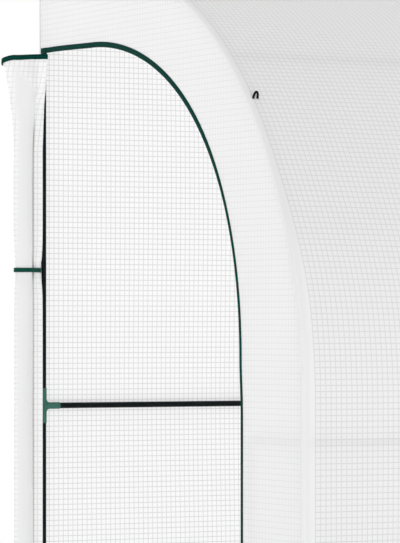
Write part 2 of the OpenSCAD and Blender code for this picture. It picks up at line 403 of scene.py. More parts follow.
def bead_tree(material: bpy.types.Material) -> bpy.types.NodeTree:
    """Builds the tree that sets rounded shapes along a line.

    Args:
        material: Finish of the shapes.

    Returns:
        A tree with Pitch and Size inputs.
    """
    tree = bpy.data.node_groups.new("sewn_row", "GeometryNodeTree")
    for name, kind in (("Line", "Geometry"), ("Pitch", "Float"), ("Size", "Vector")):
        tree.interface.new_socket(name, in_out="INPUT", socket_type=f"NodeSocket{kind}")
    tree.interface.new_socket("Row", in_out="OUTPUT", socket_type="NodeSocketGeometry")
    given = add_node(tree, "NodeGroupInput").outputs
    curve = add_node(tree, "GeometryNodeMeshToCurve", {"Mesh": given["Line"]})
    spots = add_node(
        tree,
        "GeometryNodeCurveToPoints",
        {"Curve": curve.outputs[0], "Length": given["Pitch"]},
        mode="LENGTH",
    )
    turn = add_node(
        tree, "FunctionNodeAlignRotationToVector", {"Vector": spots.outputs["Tangent"]}, axis="X"
    )
    ball = add_node(tree, "GeometryNodeMeshIcoSphere", {"Radius": 0.5, "Subdivisions": 1})
    row = add_node(
        tree,
        "GeometryNodeInstanceOnPoints",
        {
            "Points": spots.outputs["Points"],
            "Instance": ball.outputs["Mesh"],
            "Rotation": turn.outputs[0],
            "Scale": given["Size"],
        },
    )
    solid = add_node(tree, "GeometryNodeRealizeInstances", {"Geometry": row.outputs[0]})
    finish = add_node(
        tree, "GeometryNodeSetMaterial", {"Geometry": solid.outputs[0], "Material": material}
    )
    add_node(tree, "NodeGroupOutput", {"Row": finish.outputs[0]})
    return tree


def add_beads(
    name: str,
    paths: Sequence[np.ndarray],
    sizes: BeadSizes,
    material: bpy.types.Material,
    slot: Slot,
) -> None:
    """Sets small rounded shapes along paths with Geometry Nodes, as one plain dressed mesh.

    Args:
        name: Name of the piece.
        paths: Points of each path.
        sizes: Spacing and size of the shapes.
        material: Their finish.
        slot: The record's slot for that finish.
    """
    edges, start = [], 0
    for path in paths:
        edges += [(start + k, start + k + 1) for k in range(len(path) - 1)]
        start += len(path)
    mesh = bpy.data.meshes.new(name)
    mesh.from_pydata(np.vstack(paths).tolist(), edges, [])
    piece = placed(name, mesh)
    tree = bead_tree(material)
    modifier = piece.modifiers.new("row", "NODES")
    modifier.node_group = tree
    wanted = {"Pitch": sizes.pitch, "Size": (sizes.length, sizes.width, sizes.height)}
    for item in tree.interface.items_tree:
        if item.name in wanted:
            modifier[item.identifier] = wanted[item.name]
    graph = bpy.context.evaluated_depsgraph_get()
    made = bpy.data.meshes.new_from_object(piece.evaluated_get(graph))
    piece.modifiers.clear()
    piece.data = made
    made.name = name
    dress(piece, material, slot)


# Finishes


@dataclass(frozen=True)
class MeshFilm:
    """Polyethylene film laminated on a square scrim of threads: matt white, slightly wavy, and its
    threads show as fine grey lines. Lamp light passes through it and brightens the inside."""

    name: str
    film: str
    thread: str
    strip: str = "#F6F6F6"
    # Colour of the painted shadow in the door film's crease, laid on where the fold attribute is set
    fold: str = "#8E8E8E"
    thread_width: float = 2.6 * MM
    thread_relief: float = 0.3 * MM
    wave_size: float = 220 * MM
    wave_relief: float = 6 * MM
    see_through: float = 0.06
    light_through: float = 0.97
    roughness: float = 0.55
    gloss: float = 0.25

    def material(self) -> bpy.types.Material:
        """Builds the film's nodes on the sheet's own UV, in metres.

        Returns:
            The material.
        """
        material, tree = new_material(self.name)
        place = add_node(tree, "ShaderNodeTexCoord").outputs["UV"]
        grid = add_node(
            tree,
            "ShaderNodeTexBrick",
            {
                "Vector": place,
                "Scale": 1.0,
                "Mortar Size": self.thread_width / 2,
                "Mortar Smooth": 0.3,
                "Bias": 0.0,
                "Brick Width": THREAD_PITCH,
                "Row Height": THREAD_PITCH,
            },
            offset=0.0,
            squash=1.0,
        ).outputs["Fac"]
        plain = add_node(tree, "ShaderNodeAttribute", attribute_name="plain").outputs["Fac"]
        # Share of the painted crease shadow
        fold = add_node(tree, "ShaderNodeAttribute", attribute_name="fold").outputs["Fac"]
        shown = add_node(tree, "ShaderNodeMath", {0: 1.0, 1: plain}, operation="SUBTRACT").outputs[0]
        lines = add_node(tree, "ShaderNodeMath", {0: grid, 1: shown}, operation="MULTIPLY").outputs[0]
        waves = add_node(
            tree,
            "ShaderNodeTexNoise",
            {"Vector": place, "Scale": 1 / self.wave_size, "Detail": 2.0, "Roughness": 0.45},
        ).outputs["Fac"]
        colour = linear(self.film)
        # Lays on the grid-free strip colour (painted shade on the door), the threads, and the painted
        # crease shadow
        for share, code in ((plain, self.strip), (lines, self.thread), (fold, self.fold)):
            colour = add_node(
                tree,
                "ShaderNodeMix",
                {"Factor": share, MIX_A: colour, MIX_B: linear(code)},
                data_type="RGBA",
            ).outputs[MIX_RESULT]
        raised = add_node(
            tree,
            "ShaderNodeBump",
            {"Height": lines, "Strength": 0.25, "Distance": self.thread_relief},
        ).outputs[0]
        wavy = add_node(
            tree,
            "ShaderNodeBump",
            {"Height": waves, "Strength": 0.35, "Distance": self.wave_relief, "Normal": raised},
        ).outputs[0]
        body = add_node(
            tree,
            "ShaderNodeBsdfPrincipled",
            {
                "Base Color": colour,
                "Roughness": self.roughness,
                "IOR": 1.5,
                "Specular IOR Level": self.gloss,
                "Normal": wavy,
            },
        ).outputs[0]
        glow = add_node(tree, "ShaderNodeBsdfTranslucent", {"Color": colour}).outputs[0]
        sheet = add_node(
            tree, "ShaderNodeMixShader", {"Fac": self.see_through, 1: body, 2: glow}
        ).outputs[0]
        lamp_ray = add_node(tree, "ShaderNodeLightPath").outputs["Is Shadow Ray"]
        passes = add_node(
            tree, "ShaderNodeMath", {0: lamp_ray, 1: self.light_through}, operation="MULTIPLY"
        ).outputs[0]
        clear = add_node(tree, "ShaderNodeBsdfTransparent").outputs[0]
        shader = add_node(tree, "ShaderNodeMixShader", {"Fac": passes, 1: sheet, 2: clear}).outputs[0]
        add_node(tree, "ShaderNodeOutputMaterial", {"Surface": shader})
        return material


@dataclass(frozen=True)
class Surface:
    """A solid-coloured material with a fine pattern: mottled colour, uneven gloss and a low relief."""

    name: str
    colour: str
    other: str
    grain: float
    roughness: float
    relief: float
    gloss: float = 0.15
    ribs: bool = False
    unevenness: float = 0.06
    # Scale of the Wave texture for a grain of one metre
    rib_scale: float = 0.314

    def material(self) -> bpy.types.Material:
        """Builds the nodes, on Object coordinates, or on the piece's UV for ribs across its length.

        Returns:
            The material.
        """
        material, tree = new_material(self.name)
        place = add_node(tree, "ShaderNodeTexCoord").outputs["UV" if self.ribs else "Object"]
        if self.ribs:
            pattern = add_node(
                tree,
                "ShaderNodeTexWave",
                {"Vector": place, "Scale": self.rib_scale / self.grain, "Distortion": 0.6, "Detail": 1.0},
                bands_direction="DIAGONAL",
            ).outputs["Fac"]
        else:
            pattern = add_node(
                tree,
                "ShaderNodeTexNoise",
                {"Vector": place, "Scale": 1 / self.grain, "Detail": 3.0, "Roughness": 0.6},
            ).outputs["Fac"]
        colour = add_node(
            tree,
            "ShaderNodeMix",
            {"Factor": pattern, MIX_A: linear(self.colour), MIX_B: linear(self.other)},
            data_type="RGBA",
        ).outputs[MIX_RESULT]
        rough = add_node(
            tree,
            "ShaderNodeMapRange",
            {
                "Value": pattern,
                "To Min": self.roughness - self.unevenness,
                "To Max": self.roughness + self.unevenness,
            },
        ).outputs[0]
        relief = add_node(
            tree, "ShaderNodeBump", {"Height": pattern, "Strength": 0.4, "Distance": self.relief}
        ).outputs[0]
        body = add_node(
            tree,
            "ShaderNodeBsdfPrincipled",
            {
                "Base Color": colour,
                "Roughness": rough,
                "IOR": 1.5,
                "Specular IOR Level": self.gloss,
                "Normal": relief,
            },
        ).outputs[0]
        add_node(tree, "ShaderNodeOutputMaterial", {"Surface": body})
        return material


# Cover over front and roof: threads a shade darker than the film. The four copies of the film below differ
# in film and thread colour as painted light and shade, each set to how bright its face looks
COVER_FILM = MeshFilm(
    "scrim_film", film="#F7F7F7", thread="#E3E3E3", strip="#FBFBFB", see_through=0.08
)
# Ends: film painted a little darker as shade, and threads painted close to the film as the light that hides
# the raised threads on the ends
END_FILM = MeshFilm("scrim_film_on_ends", film="#F4F4F4", thread="#EAEAEA", see_through=0.1)
# Back: film painted darker as shade, and threads painted darker as the backlight that draws them out when
# seen from inside
BACK_FILM = MeshFilm("scrim_film_on_back", film="#F2F2F2", thread="#D6D6D6", see_through=0.5)
# Door: rolled tight and so glossier; its film is painted lighter as painted light, and a smooth strip along
# the roll is painted greyer as the roll's shade
DOOR_FILM = MeshFilm(
    "scrim_film_on_door", film="#FEFEFE", thread="#EBEBEB", strip="#F5F5F5", roughness=0.35, gloss=0.7
)
# Powder coat on steel: near-black green with a satin gloss and a faint orange-peel
POWDER_COAT = Surface(
    "powder_coated_steel", "#070C0E", "#0C1315", 1.6 * MM, roughness=0.38, relief=0.08 * MM, gloss=0.1
)
# Injection-moulded polypropylene: mid green, matt, faintly clouded
MOULDED_PP = Surface(
    "moulded_polypropylene", "#326357", "#3B6F61", 4 * MM, roughness=0.46, relief=0.05 * MM, gloss=0.2
)
# Woven polyester binding: dark bottle green with fine ribs across the tape
BINDING_TAPE = Surface(
    "woven_polyester_binding", "#04332C", "#0A4138", 2.4 * MM,
    roughness=0.7, relief=0.25 * MM, gloss=0.02, ribs=True,
)
# Nylon zip coil: a real part, its green painted lighter than the tape as a painted highlight along the
# middle of the binding; its turns also catch the light
ZIP_COIL = Surface(
    "nylon_zip_coil", "#07483E", "#105A4E", 2 * MM, roughness=0.5, relief=0.1 * MM, gloss=0.05
)
# Polypropylene webbing: dark green with a coarse rib
WEBBING = Surface(
    "polypropylene_webbing", "#0A3F31", "#125040", 2.2 * MM,
    roughness=0.6, relief=0.3 * MM, gloss=0.06, ribs=True,
)
# Braided polyester cord: black with diagonal plaits
BRAID = Surface(
    "braided_polyester_cord", "#080809", "#17181A", 2 * MM,
    roughness=0.6, relief=0.4 * MM, gloss=0.1, ribs=True,
)
# Polyester sewing thread: white on the film and a little glossy, green and duller on the binding
SEWING_THREAD = Surface(
    "polyester_sewing_thread", "#ECEDEC", "#F6F6F6", 3 * MM, roughness=0.45, relief=0.05 * MM
)
GREEN_THREAD = Surface(
    "green_sewing_thread", "#064239", "#0E5145", 3 * MM, roughness=0.55, relief=0.05 * MM, gloss=0.03
)


# Sizes


@dataclass(frozen=True)
class House:
    """Main sizes in metres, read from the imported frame."""

    half_length: float
    depth: float
    height: float
    eave_z: float
    door_edge: float
    hinge: float
    head_z: float
    flap_top: float
    strap_z: float
    loop_base: tuple[float, float, float]
    binding_width: float = 14 * MM
    door_radius: float = 848 * MM
    # How far the sewn doorway strays from a true outline, its rate round the curve, and where it
    # fades out below the curve, along the head and before the hinge
    wander: float = 6.8 * MM
    wander_rate: float = 4.4
    wander_below: float = 140 * MM
    wander_along: float = 100 * MM
    wander_before: float = 50 * MM
    # Points along the doorway's upright edge, its curve and its head
    door_points: tuple[int, int, int] = (60, 90, 24)
    # Pull of the tie strap: half of the height that it holds, its fading reach and its depth
    pull_half: float = 9 * MM
    pull_height: float = 27 * MM
    hinge_pull: float = 12.5 * MM

    @classmethod
    def from_frame(cls) -> "House":
        """Reads the sizes from the boxes of the CAD nodes.

        Returns:
            The sizes.
        """
        arch_low, arch_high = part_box("left_arch_sheet")
        door_low, door_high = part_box("left_door_binding")
        strap_low, strap_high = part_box("flap_straps")
        loop_low, loop_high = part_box("guy_loops")
        return cls(
            half_length=-arch_low[0],
            depth=arch_high[1] - arch_low[1],
            height=arch_high[2],
            eave_z=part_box("front_sheet")[1][2],
            door_edge=door_low[1] - arch_low[1] + cls.binding_width,
            hinge=door_high[1] - arch_low[1],
            head_z=door_high[2] - cls.binding_width,
            flap_top=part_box("flap_bindings")[1][2],
            strap_z=(strap_low[2] + strap_high[2]) / 2,
            loop_base=(loop_low[0], (loop_low[1] + loop_high[1]) / 2, loop_low[2]),
        )

    @property
    def roof_radius(self) -> float:
        """Outside radius of the curved front and roof."""
        return self.height - self.eave_z

    @property
    def door_centre(self) -> tuple[float, float]:
        """Distance from the front and height of the centre of the door's curve."""
        return self.door_edge + self.door_radius, self.head_z - self.door_radius

    def pull(self, z: np.ndarray | float) -> np.ndarray:
        """Share of the tie strap's pull at a height."""
        away = np.clip(np.abs(np.asarray(z) - self.strap_z) - self.pull_half, 0, None)
        return np.exp(-away / self.pull_height)

    def hinge_line(self, z: np.ndarray | float) -> np.ndarray:
        """Distance of the sewn hinge from the front, drawn back by the strap."""
        return self.hinge + self.hinge_pull * self.pull(z)

    def on_end(
        self, end: End, t: np.ndarray | float, s: np.ndarray | float, z: np.ndarray
    ) -> np.ndarray:
        """Turns places on an end into points of the shared frame.

        Args:
            end: The end.
            t: Distances outwards from the end.
            s: Distances from the front.
            z: Heights.

        Returns:
            One row of three coordinates per place.
        """
        t, s, z = np.broadcast_arrays(t, s, z)
        return np.stack([end.value * (self.half_length + t), s - self.depth / 2, z], axis=-1)

    def doorway(self) -> np.ndarray:
        """Outlines the doorway from the ground at its edge, over the curve, to its hinge.

        Returns:
            One row of s and z per point.
        """
        centre_s, centre_z = self.door_centre
        rise_count, turn_count, run_count = self.door_points
        rise = np.linspace(0, centre_z, rise_count)[:-1]
        turn = np.linspace(math.pi, QUARTER, turn_count)
        run = np.linspace(centre_s, self.hinge, run_count)[1:]
        radius = self.door_radius - self.wander * np.cos(self.wander_rate * (math.pi - turn))
        inwards = self.wander * smooth(rise, centre_z - self.wander_below, centre_z)
        level = smooth(run, centre_s - self.wander_along, self.hinge - self.wander_before)
        return np.concatenate([
            np.stack([self.door_edge + inwards, rise], axis=1),
            np.stack([centre_s + radius * np.cos(turn), centre_z + radius * np.sin(turn)], axis=1),
            np.stack([run, self.head_z - self.wander * (1 - level)], axis=1),
        ])


# Cover


@dataclass
class Cover:
    """Sewn film cover: the sheet over front and roof, the back sheet and the two ends."""

    house: House
    film: bpy.types.Material
    end_film: bpy.types.Material
    back_film: bpy.types.Material
    edge_radius: float = 12 * MM
    ridge_radius: float = 8 * MM
    # Smooth hem over the arches, and the stretch of the outline over which it narrows
    hem_low: float = 32 * MM
    hem_high: float = 14 * MM
    hem_narrows: tuple[float, float] = (1200 * MM, 1650 * MM)
    hem_step: float = 2 * MM
    hem_fade: float = 1 * MM
    first_thread: float = 2 * MM
    # Depth to which the film sinks in the middle of a bay, and the rails that hold it
    sag: float = 9 * MM
    arch_count: int = 4
    front_rail_z: float = 890 * MM
    back_rail_z: float = 951 * MM
    purlin_angle: float = math.radians(48.7)
    # Points along the front, the curve, the flat roof, the ridge and the back
    outline_points: tuple[int, int, int, int, int] = (48, 80, 14, 8, 90)
    # Columns of a long sheet round its edge and from its hem to the middle
    edge_points: int = 7
    inner_points: int = 64
    # Numbers of samples along the parts of the ends
    down_points: int = 400
    side_count: int = 90
    curve_count: int = 120
    hinge_count: int = 240
    end_rows: int = 48
    # Samples up the curve to the join of the side panel and the arch panel
    join_count: int = 48
    # Ripple of the ends between doorway and edge, with its rates along s and z
    ripple: float = 0.8 * MM
    ripple_rates: tuple[float, float] = (9.0, 4.0)
    # Creases from the purlin joint: middle as s and z, direction, half sizes, depth and spacing
    pull_place: tuple[float, float] = (470 * MM, 1730 * MM)
    pull_aim: tuple[float, float] = (0.535, -0.845)
    pull_reach: tuple[float, float] = (95 * MM, 52 * MM)
    pull_depth: float = 0.7 * MM
    pull_pitch: float = 27 * MM

    def profile(self) -> tuple[np.ndarray, np.ndarray, int]:
        """Samples the outline of the cover from the front hem over the roof to the back hem.

        Returns:
            Points as s and z, outward normals, and the index at which the back sheet starts.
        """
        h, r, ridge = self.house, self.house.roof_radius, self.ridge_radius
        front_count, turn_count, run_count, bend_count, back_count = self.outline_points
        front = np.linspace(0, h.eave_z, front_count)[:-1]
        turn = np.linspace(0, QUARTER, turn_count)
        run = np.linspace(r, h.depth - ridge, run_count)[1:]
        bend = np.linspace(0, QUARTER, bend_count)[1:]
        back = np.linspace(h.height - ridge, 0, back_count)[1:]
        normals = [
            np.tile([-1.0, 0.0], (len(front), 1)),
            np.stack([-np.cos(turn), np.sin(turn)], axis=1),
            np.tile([0.0, 1.0], (len(run), 1)),
            np.stack([np.sin(bend), np.cos(bend)], axis=1),
            np.tile([1.0, 0.0], (len(back), 1)),
        ]
        points = [
            np.stack([np.zeros_like(front), front], axis=1),
            np.array([r, h.eave_z]) + r * normals[1],
            np.stack([run, np.full_like(run, h.height)], axis=1),
            np.array([h.depth - ridge, h.height - ridge]) + ridge * normals[3],
            np.stack([np.full_like(back, h.depth), back], axis=1),
        ]
        split = len(front) + len(turn) + len(run) + len(bend) - 1
        return np.vstack(points), np.vstack(normals), split

    def columns(self) -> tuple[np.ndarray, np.ndarray, np.ndarray]:
        """Places the columns of a long sheet, rounded over the arches at both ends.

        Returns:
            X, drop below the face and distance along the cloth of each column.
        """
        half, radius = self.house.half_length, self.edge_radius
        turn = np.linspace(QUARTER, 0, self.edge_points)[:-1]
        edge_x = -half + radius - radius * np.sin(turn)
        edge_drop = radius - radius * np.cos(turn)
        hem_end = -half + self.hem_low + 2 * self.hem_step
        hem_x = np.arange(-half + radius, hem_end, self.hem_step)
        inner = np.linspace(hem_x[-1], 0, self.inner_points)[1:]
        x = np.concatenate([edge_x, hem_x, inner])
        drop = np.concatenate([edge_drop, np.zeros(len(hem_x) + len(inner))])
        x = np.concatenate([x, -x[-2::-1]])
        drop = np.concatenate([drop, drop[-2::-1]])
        return x, drop, distances(np.stack([x, drop], axis=1))

    def slack(self, x: np.ndarray, along: np.ndarray, rails: Sequence[float]) -> np.ndarray:
        """Depth to which the film sinks between the arches and the rails that hold it.

        Args:
            x: Places along the length.
            along: Places along the outline.
            rails: Places of the rails along the outline.

        Returns:
            One depth for each place along the outline and the length.
        """
        bay = 2 * self.house.half_length / (self.arch_count - 1)
        over_x = np.sin(math.pi * (x + self.house.half_length) / bay) ** 2
        held = np.zeros_like(along)
        for low, high in zip(rails, rails[1:]):
            inside = (along >= low) & (along <= high)
            held[inside] = np.sin(math.pi * (along[inside] - low) / (high - low)) ** 2
        return self.sag * held[:, None] * over_x[None, :]

    def long_sheet(
        self,
        name: str,
        points: np.ndarray,
        normals: np.ndarray,
        rails: Sequence[float],
        narrows: bool,
    ) -> tuple[bpy.types.Object, tuple[float, float]]:
        """Makes a sheet that runs the whole length.

        Args:
            name: Name of the piece.
            points: Its outline as s and z.
            normals: Outward normals of the outline.
            rails: Places along the outline where a rail or hem holds the film.
            narrows: Whether its hem narrows up the roof. If not, the hem is narrow all along.

        Returns:
            The piece, and its length with its width along the outline.
        """
        half = self.house.half_length
        x, drop, cloth = self.columns()
        along = distances(points)
        sink = drop[None, :] + self.slack(x, along, rails)
        s = points[:, 0, None] - normals[:, 0, None] * sink
        z = points[:, 1, None] - normals[:, 1, None] * sink
        place = np.stack([np.broadcast_to(x, s.shape), s - self.house.depth / 2, z], axis=-1)
        narrowing = smooth(along, *self.hem_narrows) if narrows else np.zeros_like(along)
        grid_start = lerp(self.hem_low, self.hem_high, narrowing)[:, None]
        hem = grid_start if narrows else np.full_like(grid_start, self.hem_high)
        first = np.interp(grid_start + self.first_thread - half, x, cloth)
        uv = np.stack([cloth[None, :] - first, np.broadcast_to(along[:, None], s.shape)], axis=-1)
        from_end = half - np.abs(x)[None, :]
        plain = 1 - smooth(from_end - hem, -self.hem_fade, self.hem_fade)
        piece = mesh_object(
            name,
            place.reshape(-1, 3),
            grid_faces(len(points), len(x), False),
            uv.reshape(-1, 2),
            plain.ravel(),
        )
        return piece, (float(cloth[-1]), float(along[-1]))

    def end_rings(self) -> tuple[np.ndarray, np.ndarray]:
        """Matches the doorway's outline with the rounded edge of the cover, sample by sample.

        Returns:
            The doorway's and the edge's points as s and z.
        """
        h = self.house
        points, normals, _ = self.profile()
        outer = points - normals * self.edge_radius
        down = np.linspace(h.head_z, 0, self.down_points)[1:]
        inner = np.vstack([h.doorway(), np.stack([h.hinge_line(down), down], axis=1)])
        counts = (self.side_count, self.curve_count, self.hinge_count)
        rings = []
        for ring, spring in ((inner, h.door_centre[1]), (outer, h.eave_z)):
            along = distances(ring)
            corner = along[int(np.argmax(ring[:, 0] + ring[:, 1]))]
            marks = [0, spring, corner, along[-1]]
            spans = [
                np.linspace(a, b, n, endpoint=False) for a, b, n in zip(marks, marks[1:], counts)
            ]
            rings.append(points_at(ring, np.concatenate([*spans, along[-1:]])))
        return rings[0], rings[1]

    def pull_lines(self, s: np.ndarray, z: np.ndarray) -> np.ndarray:
        """Depth of the faint creases that slant from the arch's purlin joint to the doorway.

        Args:
            s: Distances from the front.
            z: Heights.

        Returns:
            Depth for each place.
        """
        from_s, from_z = s - self.pull_place[0], z - self.pull_place[1]
        aim_s, aim_z = self.pull_aim
        along = aim_s * from_s + aim_z * from_z
        across = -aim_z * from_s + aim_s * from_z
        fade = np.exp(-((along / self.pull_reach[0]) ** 2) - (across / self.pull_reach[1]) ** 2)
        return self.pull_depth * fade * np.sin(2 * math.pi * across / self.pull_pitch)

    def end_panel(
        self, end: End, name: str, columns: slice
    ) -> tuple[bpy.types.Object, tuple[float, float], float]:
        """Makes one panel of an end, from the doorway's edge to the rounded edge of the cover.

        Args:
            end: The end.
            name: Word for the panel.
            columns: Samples of the outlines that the panel takes up.

        Returns:
            The piece, the size of the cloth that it is cut from and its area.
        """
        inner, outer = (ring[columns] for ring in self.end_rings())
        share = np.linspace(0, 1, self.end_rows)[:, None, None]
        flat = lerp(inner[None], outer[None], share)
        s, z = flat[..., 0], flat[..., 1]
        wave = 1 + np.sin(self.ripple_rates[0] * s + self.ripple_rates[1] * z)
        sink = self.ripple * np.sin(math.pi * share[..., 0]) ** 2 * wave + self.pull_lines(s, z)
        piece = mesh_object(
            f"{end.label}_{name}_film",
            self.house.on_end(end, -sink, s, z).reshape(-1, 3),
            grid_faces(self.end_rows, len(inner), end is End.RIGHT),
            flat.reshape(-1, 2),
            np.zeros(s.size),
        )
        area = sum(face.area for face in piece.data.polygons)
        return piece, (float(np.ptp(s)), float(np.ptp(z))), area

    def build_long_sheets(self) -> None:
        """Makes and dresses the sheet over front and roof and the back sheet."""
        h = self.house
        points, normals, split = self.profile()
        purlin = h.eave_z + h.roof_radius * self.purlin_angle
        ridge = h.eave_z + h.roof_radius * QUARTER + h.depth - h.roof_radius
        roof, size = self.long_sheet(
            "front_and_roof_film",
            points[: split + 1],
            normals[: split + 1],
            [0, self.front_rail_z, purlin, ridge],
            narrows=True,
        )
        roof_nodes = (f"roof_sheet_{part}" for part in ("low", "mid", "high", "top"))
        dress(roof, self.film, Slot.FILM, "front_sheet", *roof_nodes)
        back, size = self.long_sheet(
            "back_film",
            points[split:],
            normals[split:],
            [0, h.height - self.back_rail_z, h.height],
            narrows=False,
        )
        dress(back, self.back_film, Slot.FILM, "back_sheet")

    def build(self) -> None:
        """Makes and dresses the sheets of the cover."""
        self.build_long_sheets()
        join = self.side_count + self.join_count
        corner = self.side_count + self.curve_count
        panels = {
            "side": slice(0, join + 1),
            "arch": slice(join, corner + 1),
            "hinge": slice(corner, None),
        }
        for end in End:
            for name, columns in panels.items():
                piece, size, area = self.end_panel(end, name, columns)
                node = "hinge_strips" if name == "hinge" else f"{end.label}_{name}_sheet"
                dress(piece, self.end_film, Slot.FILM, node)


@dataclass
class SeamStitches:
    """Rows of stitches along the sewn edges of the ends and along the hems of the long sheets."""

    cover: Cover
    thread: bpy.types.Material
    hem_z: float = 18 * MM
    hem_sink: float = 0.4 * MM
    hem_points: int = 200
    step: float = 10 * MM
    sizes: BeadSizes = BeadSizes(pitch=9 * MM, length=6 * MM, width=1.1 * MM, height=0.9 * MM)

    def build(self) -> None:
        """Makes the rows of both ends and of the hems."""
        house, radius = self.cover.house, self.cover.edge_radius
        points, normals, _ = self.cover.profile()
        # Half way round the rounded edge
        inset = radius * (1 - math.cos(QUARTER / 2))
        edge = points - normals * inset
        edge = resampled(edge[edge[:, 1] > self.hem_z], self.step)
        for end in End:
            row = house.on_end(end, -inset, edge[:, 0], edge[:, 1])
            add_beads(f"{end.label}_seam_stitches", [row], self.sizes, self.thread, Slot.FILM)
        reach = house.half_length - radius
        hem = np.linspace([-reach, 0, self.hem_z], [reach, 0, self.hem_z], self.hem_points)
        side = np.array([0, house.depth / 2 - self.hem_sink, 0])
        add_beads("hem_stitches", [hem - side, hem + side], self.sizes, self.thread, Slot.FILM)


# Door


@dataclass
class DoorBinding:
    """Green tape with its zip round each doorway, ending in a sewn tab from which the flap hangs."""

    house: House
    tape: bpy.types.Material
    coil: bpy.types.Material
    thread: bpy.types.Material
    width: float = 15 * MM
    thickness: float = 2.2 * MM
    off_film: float = 0.5 * MM
    # Share of the thickness that rounds the edges
    roundness: float = 0.48
    # Share of the width on the upright edge, and heights between which the tape widens to all of it
    slimming: float = 0.7
    widens: tuple[float, float] = (1470 * MM, 1720 * MM)
    off_ground: float = 6 * MM
    step: float = 10 * MM
    past_hinge: float = 5 * MM
    tab_width: float = 36 * MM
    tab_thickness: float = 2.8 * MM
    tab_off_film: float = 0.6 * MM
    tab_overlap: float = 12 * MM
    tab_points: int = 5
    stitch_inset: float = 2 * MM
    turns: BeadSizes = BeadSizes(pitch=3.2 * MM, length=2.2 * MM, width=3.6 * MM, height=1.6 * MM)
    stitches: BeadSizes = BeadSizes(pitch=6 * MM, length=3.8 * MM, width=0.9 * MM, height=0.9 * MM)

    def path(self) -> np.ndarray:
        """Draws the middle line of the tape, from just over the ground to just past the hinge.

        Returns:
            One row of s and z per point.
        """
        line = self.house.doorway()
        line[0, 1] = self.off_ground
        last = [self.house.hinge + self.past_hinge, line[-1, 1]]
        return resampled(np.vstack([line, last]), self.step)

    def tab(self, end: End) -> Part:
        """Makes the square tab that joins the head of the tape to the flap's binding.

        Args:
            end: The end that the tab is on.

        Returns:
            The tab.
        """
        h = self.house
        z = np.linspace(h.flap_top - self.tab_overlap, h.head_z + self.width / 2, self.tab_points)
        line = h.on_end(end, self.tab_off_film, h.hinge + self.past_hinge - self.tab_width / 2, z)
        across = np.tile([0.0, 1.0, 0.0], (len(z), 1))
        section = rounded_section(
            self.tab_width, self.tab_thickness, self.tab_thickness * self.roundness
        )
        return sweep(line, across, end.outwards(len(z)), section)

    def build(self) -> None:
        """Makes both tapes with their tabs, the zip coil along their middle and their stitches."""
        section = rounded_section(self.width, self.thickness, self.thickness * self.roundness)
        path = self.path()
        ahead = headings(path)
        share = lerp(self.slimming, 1, smooth(path[:, 1], *self.widens))[:, None]
        across = np.stack([np.zeros(len(path)), -ahead[:, 1], ahead[:, 0]], axis=1) * share
        edge = across * (self.width / 2 - self.stitch_inset)
        for end in End:
            line = self.house.on_end(end, self.off_film, path[:, 0], path[:, 1])
            out = end.outwards(len(path))
            parts = [sweep(line, across, out, section), self.tab(end)]
            piece = mesh_object(f"{end.label}_door_binding_tape", *joined(parts))
            dress(piece, self.tape, Slot.BINDING, f"{end.label}_door_binding")
            face = line + out * self.thickness / 2
            add_beads(f"{end.label}_zip_coil", [face], self.turns, self.coil, Slot.BINDING)
            rows = [face - edge, face + edge]
            name = f"{end.label}_binding_stitches"
            add_beads(name, rows, self.stitches, self.thread, Slot.BINDING)


@dataclass(frozen=True)
class RollShape:
    """Sizes of the rolled-up door film, from the tight roll to its opened-out top."""

    # Middle of the roll, and half sizes, turn and squareness of its oval section
    out: float = 64 * MM
    s: float = 1479 * MM
    radius: float = 28.5 * MM
    depth: float = 22 * MM
    turn: float = math.radians(27.7)
    squareness: float = 2.9
    # Half sizes of the opened-out top, an ellipse, and how far it leans out
    mouth_radius: float = 58 * MM
    mouth_depth: float = 24 * MM
    mouth_lean: float = 10 * MM
    # Height at which the roll starts to open, and how slowly it does
    flare_start: float = 1660 * MM
    flare_power: float = 1.8
    # Layers, from the angle at which the film meets the roll, below and at its top, to its core
    meets: tuple[float, float] = (math.radians(165), math.radians(235))
    turns: int = 11
    turn_points: int = 48
    core_radius: float = 5 * MM
    # Depth to which the strap pinches the roll
    pinch: float = 3.6 * MM
    # Slow sway of the roll along its height, and wrinkles round it and along its height
    sway: float = 0.8 * MM
    sway_rate: float = 9.0
    wrinkle: float = 0.02
    wrinkle_rates: tuple[float, float] = (3.0, 5.0)
    # Seam on the hinge
    seam_out: float = 0.8 * MM
    seam_past_hinge: float = 1.5 * MM
    # Fold beside the post, how far the opened-out top spreads it and how far the strap draws it
    fold_out: float = 4 * MM
    fold_s: float = 1475.5 * MM
    fold_spread: float = 32 * MM
    fold_spread_power: float = 0.7
    fold_step: float = 6 * MM
    fold_step_flare: tuple[float, float] = (0.25, 0.5)
    fold_pull: float = 17 * MM
    # Points from the fold to the roll
    lead_points: int = 12


